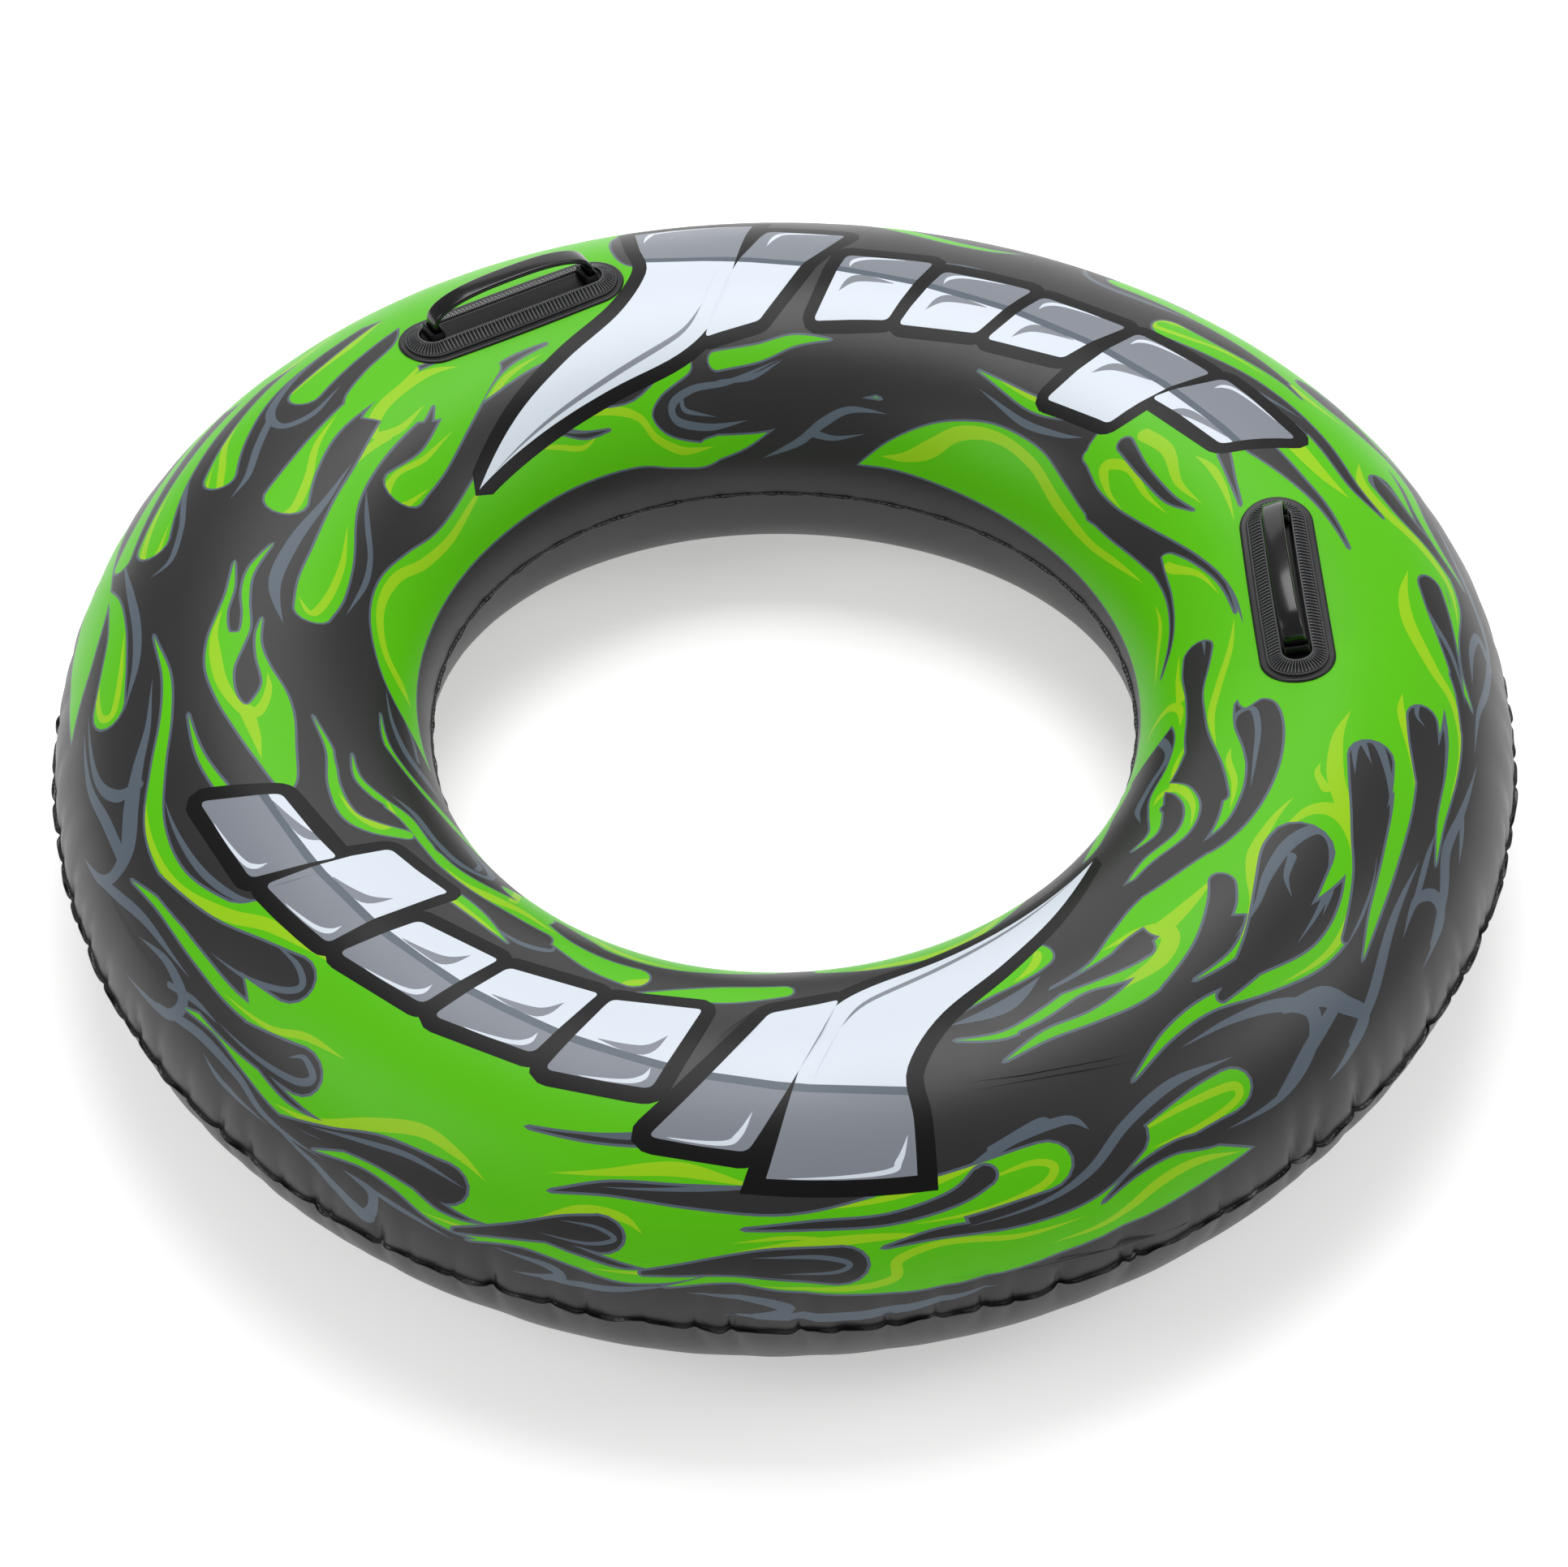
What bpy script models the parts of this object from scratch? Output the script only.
"""Inflatable water ring: two welded vinyl half shells, two moulded grab handles and an inflation valve.

Units are metres.  The ring lies flat, +Z is up, and the origin is under its centre on the surface it lies on.
Angles called theta run round the ring from +X, angles called phi run round the tube from its outer side (0)
over the top (90 degrees) to its inner side (180 degrees).
"""

from math import asin, atan2, cos, pi, radians, sin, sqrt

import bmesh
import bpy
from mathutils import Matrix, Vector

# The ring
RING_RADIUS = 0.276             # centre of the hole to the centre of the tube
LOBE_DEPTH = 0.0115             # a blown ring is slightly three-lobed: this share of RING_RADIUS
LOBE_TURN = radians(70)
TUBE_HALF_WIDTH = 0.095         # fabric only, without the weld seams
TUBE_HALF_HEIGHT = 0.0788
WALL = 0.0004
GAP = 0.0003                    # between neighbouring solids
RING_STEPS = 60
SECTION_STEPS = 11              # odd, so that one facet lies flat on the floor
OUTER_FLANGE = 0.003            # how far the outer weld stands out
INNER_BEAD = 0.0014
SEAM_THICKNESS = 0.0012

# A grab handle: a film patch, a ribbed base with a raised tray, a strap and its two end sockets
PATCH_LENGTH = 0.132
PATCH_WIDTH = 0.037
FILM = 0.0005
FILM_CLEARANCE = 0.0006         # over the faceted panel
BASE_MARGIN = 0.0034            # film that shows round the ribbed base
RIM_INSET = 0.0072              # width of the ribbed band
RIM_HEIGHT = 0.0035
BASE_EDGE = 0.0008
TRAY_DEPTH = 0.0012             # the tray's floor lies this far under its rim
RIM_WIDTH = 0.001
STRAP_SPAN = 0.093              # between the two sockets' centres
STRAP_WIDTH = 0.0105
STRAP_THICKNESS = 0.003
STRAP_RISE = 0.0147             # arch centre line above the hinge line
STRAP_STEPS = 22
ARCH_POWER = 2.5                # above 2 the arch is flatter on top and steeper at its ends
SOCKET_BASE = 0.001
SOCKET_CHEEK = 0.0018
SOCKET_CLEARANCE = 0.0007
SOCKET_WIDTH = 0.0125
SLOT_PLAY = 0.0004              # each side of the strap's tongue
PIVOT_HEIGHT = 0.0068           # hinge line above the tray's floor
HANDLES = (                     # side, lean of its strap, then theta, plan radius and plan angle of its length
    ("right", radians(8), radians(4.9), 0.2552, radians(91.4)),
    ("left", 0.0, radians(121), 0.279, radians(30)),
)

# The inflation valve, low on the outer side at the back
VALVE_THETA = radians(90)
VALVE_PHI = radians(-40)
FLANGE_RADIUS = 0.019
FLANGE_BORE = 0.0068
FLANGE_THICKNESS = 0.001
STEM_RADIUS = 0.006
STEM_BORE = 0.0036
STEM_INNER_END = -0.016         # along the valve's axis, from the panel's surface
STEM_TOP = 0.010
LIP_RADIUS = 0.0075
LIP_HEIGHT = 0.002
PLUG_HEAD_RADIUS = 0.0066
PLUG_HEAD = 0.0016
PLUG_SHANK_RADIUS = 0.0033
PLUG_SHANK = 0.008
FLAP_RADIUS = 0.005
FLAP_THICKNESS = 0.0007
TETHER_REACH = 0.016
TETHER_WIDTH = 0.003
TETHER_THICKNESS = 0.0009
TURN_STEPS = 20                 # sides of a turned valve piece


def clear_scene():
    for old in list(bpy.data.objects):
        bpy.data.objects.remove(old, do_unlink=True)


def material(name, colour, roughness):
    """A Principled material: vinyl and moulded plastics, none of them metal."""
    made = bpy.data.materials.new(name)
    made.use_nodes = True
    shader = made.node_tree.nodes["Principled BSDF"]
    shader.inputs["Base Color"].default_value = (*colour, 1.0)
    shader.inputs["Roughness"].default_value = roughness
    shader.inputs["Metallic"].default_value = 0.0
    made.diffuse_color = (*colour, 1.0)
    return made


def ladder(count):
    """Faces that close a loop whose first and middle points are its two tips."""
    faces = [(0, 1, count - 1)]
    for i in range(1, count // 2 - 1):
        faces.append((i, i + 1, count - i - 1, count - i))
    faces.append((count // 2 - 1, count // 2, count // 2 + 1))
    return faces


def loft(name, loops, finish, wrap=False, caps="face", origin=Vector((0, 0, 0))):
    """One closed body through loops of equal length, with its object's origin at the given point."""
    shape = bmesh.new()
    rows = [[shape.verts.new(Vector(point) - origin) for point in loop] for loop in loops]
    count = len(rows[0])
    pairs = list(zip(rows, rows[1:]))
    if wrap:
        pairs.append((rows[-1], rows[0]))
    for low, high in pairs:
        for i in range(count):
            j = (i + 1) % count
            shape.faces.new((low[i], low[j], high[j], high[i]))
    if not wrap:
        for row in (rows[0], rows[-1]):
            cells = ladder(count) if caps == "ladder" else [range(count)]
            for cell in cells:
                shape.faces.new([row[i] for i in cell])
    bmesh.ops.recalc_face_normals(shape, faces=shape.faces)
    mesh = bpy.data.meshes.new(name)
    shape.to_mesh(mesh)
    shape.free()
    mesh.materials.append(finish)
    mesh.shade_smooth()
    mesh.set_sharp_from_angle(angle=radians(35))
    body = bpy.data.objects.new(name, mesh)
    body.location = origin
    bpy.context.collection.objects.link(body)
    return body


# ---------------------------------------------------------------- the tube's surface

def plan_radius(theta):
    return RING_RADIUS * (1 + LOBE_DEPTH * cos(3 * theta - LOBE_TURN))


def ring_point(theta, outward, height):
    """A point beside the tube's centre line: outward from it in plan, and above the floor."""
    radius = plan_radius(theta) + outward
    return Vector((radius * cos(theta), radius * sin(theta), height))


def section_height(phi):
    """Height of the tube's surface above its middle; the underside is pressed flat where it rests."""
    if sin(phi) >= 0:
        return TUBE_HALF_HEIGHT * sin(phi)
    pressed = sin(phi) / cos(pi / SECTION_STEPS / 2)
    return TUBE_HALF_HEIGHT * max(-1.0, pressed)


def tube_point(theta, phi, offset=0.0):
    """A point on the tube's surface, moved outward along the section's normal."""
    outward = TUBE_HALF_WIDTH * cos(phi)
    lean = Vector((cos(phi) / TUBE_HALF_WIDTH, sin(phi) / TUBE_HALF_HEIGHT)).normalized()
    return ring_point(
        theta,
        outward + offset * lean.x,
        TUBE_HALF_HEIGHT + section_height(phi) + offset * lean.y,
    )


def tube_normal(theta, phi):
    return (tube_point(theta, phi, 0.001) - tube_point(theta, phi)).normalized()


def top_point(x, y, offset=0.0):
    """The point of the upper surface over a plan position, and raised along the surface's normal."""
    theta = atan2(y, x)
    outward = sqrt(x * x + y * y) - plan_radius(theta)
    return tube_point(theta, pi / 2 - asin(outward / TUBE_HALF_WIDTH), offset)


def ring_thetas():
    return [2 * pi * step / RING_STEPS for step in range(RING_STEPS)]


# ---------------------------------------------------------------- ring pieces

def panel(name, start, finish):
    """Half of the tube's skin, an open channel bent into a ring; start is the phi of its first edge."""
    edge = asin(GAP / 2 / TUBE_HALF_HEIGHT)
    phis = [start + edge + (pi - 2 * edge) * step / SECTION_STEPS for step in range(SECTION_STEPS + 1)]
    loops = []
    for theta in ring_thetas():
        outside = [tube_point(theta, phi) for phi in phis]
        inside = [tube_point(theta, phi, -WALL) for phi in reversed(phis)]
        for point in (inside[0], inside[-1]):
            point.z = outside[0].z
        loops.append(outside + inside)
    return loft(name, loops, finish, wrap=True)


def seam(name, near, far, finish):
    """A flat welded strip round the tube at half height, between two distances from the centre line."""
    low = TUBE_HALF_HEIGHT - SEAM_THICKNESS / 2
    high = TUBE_HALF_HEIGHT + SEAM_THICKNESS / 2
    corners = ((near, low), (far, low), (far, high), (near, high))
    loops = [[ring_point(theta, *corner) for corner in corners] for theta in ring_thetas()]
    return loft(name, loops, finish, wrap=True)


def cut_hole(body, centre, axis, radius, depth):
    """Cut a round hole through a wall; the cutter stays as a hidden guide."""
    bpy.ops.mesh.primitive_cylinder_add(vertices=TURN_STEPS, radius=radius, depth=depth)
    cutter = bpy.context.object
    cutter.name = body.name + "_cutter"
    cutter.location = centre
    cutter.rotation_mode = "QUATERNION"
    cutter.rotation_quaternion = axis.to_track_quat("Z", "Y")
    cutter.hide_render = True
    cutter.display_type = "WIRE"
    cut = body.modifiers.new("valve_hole", "BOOLEAN")
    cut.operation = "DIFFERENCE"
    cut.solver = "EXACT"
    cut.object = cutter


# ---------------------------------------------------------------- grab handles

def stadium(length, width, side_steps=5, end_steps=4):
    """A stadium's outline from its right tip round to it, with its two tips first and at half way."""
    radius = width / 2
    half = length / 2 - radius
    quarter = [(half + radius * cos(pi / 2 * i / end_steps), radius * sin(pi / 2 * i / end_steps))
               for i in range(end_steps + 1)]
    side = [(half * (1 - 2 * i / side_steps), radius) for i in range(1, side_steps)]
    far = [(-x, y) for x, y in reversed(quarter)]
    upper = quarter + side + far
    lower = [(x, -y) for x, y in reversed(upper[1:-1])]
    return upper + lower


def handle_frame(theta, radius, turn):
    """The handle's plan centre, and the plan directions along and across it."""
    centre = Vector((radius * cos(theta), radius * sin(theta)))
    along = Vector((cos(turn), sin(turn)))
    return centre, along, Vector((-along.y, along.x))


def on_tube(place, s, t, lift):
    """A point of the handle: s along it, t across it, lifted off the tube along the tube's normal."""
    centre, along, across = handle_frame(*place)
    plan = centre + s * along + t * across
    return top_point(plan.x, plan.y, lift)


def laid_on_tube(name, place, rings, finish):
    """A closed body of stadium rings, each (length, width, lift), that follow the tube's curve."""
    loops = [[on_tube(place, s, t, lift) for s, t in stadium(length, width)] for length, width, lift in rings]
    return loft(name, loops, finish, caps="ladder")


def narrowed(inset):
    """The patch's length and width, drawn in by an inset on every side."""
    return PATCH_LENGTH - 2 * inset, PATCH_WIDTH - 2 * inset


def film_patch(name, place, finish):
    under = FILM_CLEARANCE
    top = under + FILM
    core = narrowed(PATCH_WIDTH * 0.4)
    mid = narrowed(PATCH_WIDTH * 0.2)
    outer = narrowed(0.0)
    rings = [(*core, under), (*mid, under), (*outer, under), (*outer, top), (*mid, top), (*core, top)]
    return laid_on_tube(name, place, rings, finish)


def base_floor():
    """Height of the tray's floor above the tube."""
    return FILM_CLEARANCE + FILM + GAP + RIM_HEIGHT - TRAY_DEPTH


def ribbed_base(name, place, finish):
    """The welded base: a sloping band up to a rim, and the tray's floor inside it."""
    under = FILM_CLEARANCE + FILM + GAP
    edge = narrowed(BASE_MARGIN)
    rim_out = narrowed(BASE_MARGIN + RIM_INSET)
    rim_in = narrowed(BASE_MARGIN + RIM_INSET + RIM_WIDTH)
    core = narrowed(PATCH_WIDTH * 0.42)
    rings = [
        (*core, under),
        (*rim_out, under),
        (*edge, under),
        (*edge, under + BASE_EDGE),
        (*rim_out, under + RIM_HEIGHT),
        (*rim_in, base_floor()),
        (*core, base_floor()),
    ]
    return laid_on_tube(name, place, rings, finish)


def strap_frame(place):
    """The hinge line's middle, its direction, and the strap's upward and sideways directions."""
    lift = base_floor() + PIVOT_HEIGHT
    low = on_tube(place, -STRAP_SPAN / 2, 0, lift)
    high = on_tube(place, STRAP_SPAN / 2, 0, lift)
    axis = (high - low).normalized()
    normal = on_tube(place, 0, 0, 0.001) - on_tube(place, 0, 0, 0)
    up = (normal - normal.dot(axis) * axis).normalized()
    return (low + high) / 2, axis, up, up.cross(axis)


def strap_path():
    """Arch centre line as (distance along, height, half width), tongue tip to tongue tip.

    Below the hinge line each end is a half-round tongue, so that it can turn in its socket.
    """
    half = STRAP_SPAN / 2
    radius = STRAP_WIDTH / 2
    tongue = [(half, -radius * sin(angle), max(radius * cos(angle), radius * 0.2))
              for angle in (radians(85), radians(60), radians(35), radians(15))]
    arch = []
    for step in range(STRAP_STEPS + 1):
        angle = pi * step / STRAP_STEPS
        along = half * abs(cos(angle)) ** (2 / ARCH_POWER) * (1 if cos(angle) >= 0 else -1)
        height = STRAP_RISE * sin(angle) ** (2 / ARCH_POWER) if 0 < step < STRAP_STEPS else 0.0
        arch.append((along, height, radius))
    return tongue + arch + [(-x, z, w) for x, z, w in reversed(tongue)]


def strap(name, place, lean, finish):
    """A flat arched strap with rounded edges, leaning about the hinge line that its origin is on."""
    middle, axis, upright, level = strap_frame(place)
    up = cos(lean) * upright + sin(lean) * level
    side = up.cross(axis)
    path = strap_path()
    thick = STRAP_THICKNESS / 2
    round_in = 0.0008
    loops = []
    for i, (x, z, wide) in enumerate(path):
        before, after = path[max(i - 1, 0)], path[min(i + 1, len(path) - 1)]
        run = Vector((after[0] - before[0], after[1] - before[1])).normalized()
        out = Vector((run.y, -run.x))
        shift = min(round_in, wide / 2)
        corners = (
            (wide, thick - shift), (wide - shift, thick), (shift - wide, thick), (-wide, thick - shift),
            (-wide, shift - thick), (shift - wide, -thick), (wide - shift, -thick), (wide, shift - thick),
        )
        centre = middle + x * axis + z * up
        loops.append([centre + w * side + d * (out.x * axis + out.y * up) for w, d in corners])
    return loft(name, loops, finish, origin=middle)


def socket(name, place, end, finish):
    """A slotted foot that holds one tongue: a base and two cheeks, extruded across the handle."""
    _, axis, _, _ = strap_frame(place)
    foot = on_tube(place, end * STRAP_SPAN / 2, 0, base_floor() + SOCKET_CLEARANCE)
    normal = foot - on_tube(place, end * STRAP_SPAN / 2, 0, 0)
    up = (normal - normal.dot(axis) * axis).normalized()
    side = up.cross(axis)
    slot = STRAP_THICKNESS / 2 + SLOT_PLAY
    wall = slot + SOCKET_CHEEK
    top = PIVOT_HEIGHT - SOCKET_CLEARANCE - STRAP_THICKNESS / 2
    low = SOCKET_BASE / 2
    profile = (
        (-wall, 0), (wall, 0), (wall, top), (slot, top), (slot, low), (-slot, low), (-slot, top), (-wall, top),
    )
    loops = [[foot + x * axis + z * up + w * side for x, z in profile]
             for w in (-SOCKET_WIDTH / 2, SOCKET_WIDTH / 2)]
    return loft(name, loops, finish)


def handle(side, lean, place, film, black, gloss):
    film_patch(side + "_handle_film_patch", place, film)
    ribbed_base(side + "_handle_ribbed_base", place, black)
    socket(side + "_handle_socket_front", place, -1, black)
    socket(side + "_handle_socket_rear", place, 1, black)
    strap(side + "_handle_strap", place, lean, gloss)


# ---------------------------------------------------------------- valve

def valve_frame():
    """The valve's place on the panel, its outward axis, and the direction across it in plan."""
    foot = tube_point(VALVE_THETA, VALVE_PHI)
    axis = tube_normal(VALVE_THETA, VALVE_PHI)
    side = Vector((-sin(VALVE_THETA), cos(VALVE_THETA), 0))
    return foot, axis, side, axis.cross(side)


def turned(name, profile, finish, wrap=False):
    """A piece turned about the valve's axis from (radius, distance along the axis) points."""
    foot, axis, side, rise = valve_frame()
    loops = []
    for radius, along in profile:
        circle = [2 * pi * step / TURN_STEPS for step in range(TURN_STEPS)]
        loops.append([foot + along * axis + radius * (cos(a) * side + sin(a) * rise) for a in circle])
    return loft(name, loops, finish, wrap=wrap, origin=foot)


def valve_flange(finish):
    """The weld disc round the stem, laid on the panel."""
    around = plan_radius(VALVE_THETA) + TUBE_HALF_WIDTH * cos(VALVE_PHI)
    step = radians(1)
    along_section = (tube_point(VALVE_THETA, VALVE_PHI + step) - tube_point(VALVE_THETA, VALVE_PHI)).length / step
    low = FILM_CLEARANCE
    high = low + FLANGE_THICKNESS
    middle = (FLANGE_RADIUS + FLANGE_BORE) / 2
    rings = (
        (FLANGE_BORE, low), (middle, low), (FLANGE_RADIUS, low),
        (FLANGE_RADIUS, high), (middle, high), (FLANGE_BORE, high),
    )
    loops = []
    for radius, lift in rings:
        circle = [2 * pi * i / TURN_STEPS for i in range(TURN_STEPS)]
        loops.append([
            tube_point(VALVE_THETA + radius * cos(a) / around, VALVE_PHI + radius * sin(a) / along_section, lift)
            for a in circle
        ])
    return loft("valve_flange", loops, finish, wrap=True)


def valve_stem(finish):
    lip = STEM_TOP - LIP_HEIGHT
    profile = (
        (STEM_BORE, STEM_INNER_END), (STEM_RADIUS, STEM_INNER_END), (STEM_RADIUS, lip), (LIP_RADIUS, lip),
        (LIP_RADIUS, STEM_TOP), (STEM_BORE, STEM_TOP),
    )
    return turned("valve_stem", profile, finish, wrap=True)


def valve_plug(finish):
    seat = STEM_TOP + GAP
    profile = (
        (PLUG_SHANK_RADIUS * 0.8, seat - PLUG_SHANK), (PLUG_SHANK_RADIUS, seat - PLUG_SHANK + 0.001),
        (PLUG_SHANK_RADIUS, seat), (PLUG_HEAD_RADIUS, seat), (PLUG_HEAD_RADIUS, seat + PLUG_HEAD),
        (PLUG_HEAD_RADIUS - 0.0006, seat + PLUG_HEAD + 0.0004),
    )
    return turned("valve_plug", profile, finish)


def flap_hinge():
    """A point on the hinge line of the non-return flap, at the edge of the stem's inner end."""
    foot, axis, side, rise = valve_frame()
    return foot + (STEM_INNER_END - GAP) * axis + FLAP_RADIUS * rise


def valve_flap(finish):
    """The thin disc that closes the stem's inner end; its origin is on its hinge line."""
    top = STEM_INNER_END - GAP
    flap = turned("valve_flap", ((FLAP_RADIUS, top - FLAP_THICKNESS), (FLAP_RADIUS, top)), finish)
    shift = flap_hinge() - flap.location
    flap.data.transform(Matrix.Translation(-shift))
    flap.location = flap_hinge()
    return flap


def valve_tether(finish):
    """A moulded loop from the stem's lip out and back to the plug's head."""
    foot, axis, side, rise = valve_frame()
    low = STEM_TOP - LIP_HEIGHT / 2
    high = STEM_TOP + GAP + PLUG_HEAD / 2
    bend = (high - low) / 2
    bend_steps = 6
    outer, inner = [], []
    for edge, radius in ((outer, bend + TETHER_THICKNESS / 2), (inner, bend - TETHER_THICKNESS / 2)):
        for i in range(bend_steps + 1):
            angle = -pi / 2 + pi * i / bend_steps
            edge.append((TETHER_REACH - bend + radius * cos(angle), low + bend + radius * sin(angle)))
    profile = [(LIP_RADIUS + GAP, low - TETHER_THICKNESS / 2)] + outer
    profile += [(PLUG_HEAD_RADIUS + GAP, high + TETHER_THICKNESS / 2)]
    profile += [(PLUG_HEAD_RADIUS + GAP, high - TETHER_THICKNESS / 2)] + list(reversed(inner))
    profile += [(LIP_RADIUS + GAP, low + TETHER_THICKNESS / 2)]
    loops = [[foot + out * side + along * axis + w * rise for out, along in profile]
             for w in (-TETHER_WIDTH / 2, TETHER_WIDTH / 2)]
    return loft("valve_tether", loops, finish)


def main():
    clear_scene()
    printed = material("printed_vinyl", (0.12, 0.62, 0.01), 0.35)
    charcoal = material("charcoal_vinyl", (0.035, 0.033, 0.035), 0.42)
    weld = material("weld_black", (0.008, 0.008, 0.009), 0.4)
    film = material("handle_film", (0.03, 0.03, 0.032), 0.5)
    black = material("handle_base_black", (0.015, 0.015, 0.016), 0.4)
    gloss = material("handle_strap_gloss", (0.006, 0.006, 0.006), 0.18)
    clear = material("valve_vinyl", (0.72, 0.74, 0.74), 0.35)

    panel("upper_panel", 0.0, printed)
    lower = panel("lower_panel", pi, charcoal)
    foot, axis, _, _ = valve_frame()
    cut_hole(lower, foot, axis, FLANGE_BORE, 0.02)
    edge = TUBE_HALF_WIDTH + GAP
    seam("outer_weld_seam", edge, edge + OUTER_FLANGE, weld)
    seam("inner_weld_seam", -edge - INNER_BEAD, -edge, weld)
    for side, lean, *place in HANDLES:
        handle(side, lean, place, film, black, gloss)
    valve_flange(clear)
    valve_stem(clear)
    valve_plug(clear)
    valve_flap(clear)
    valve_tether(clear)


main()
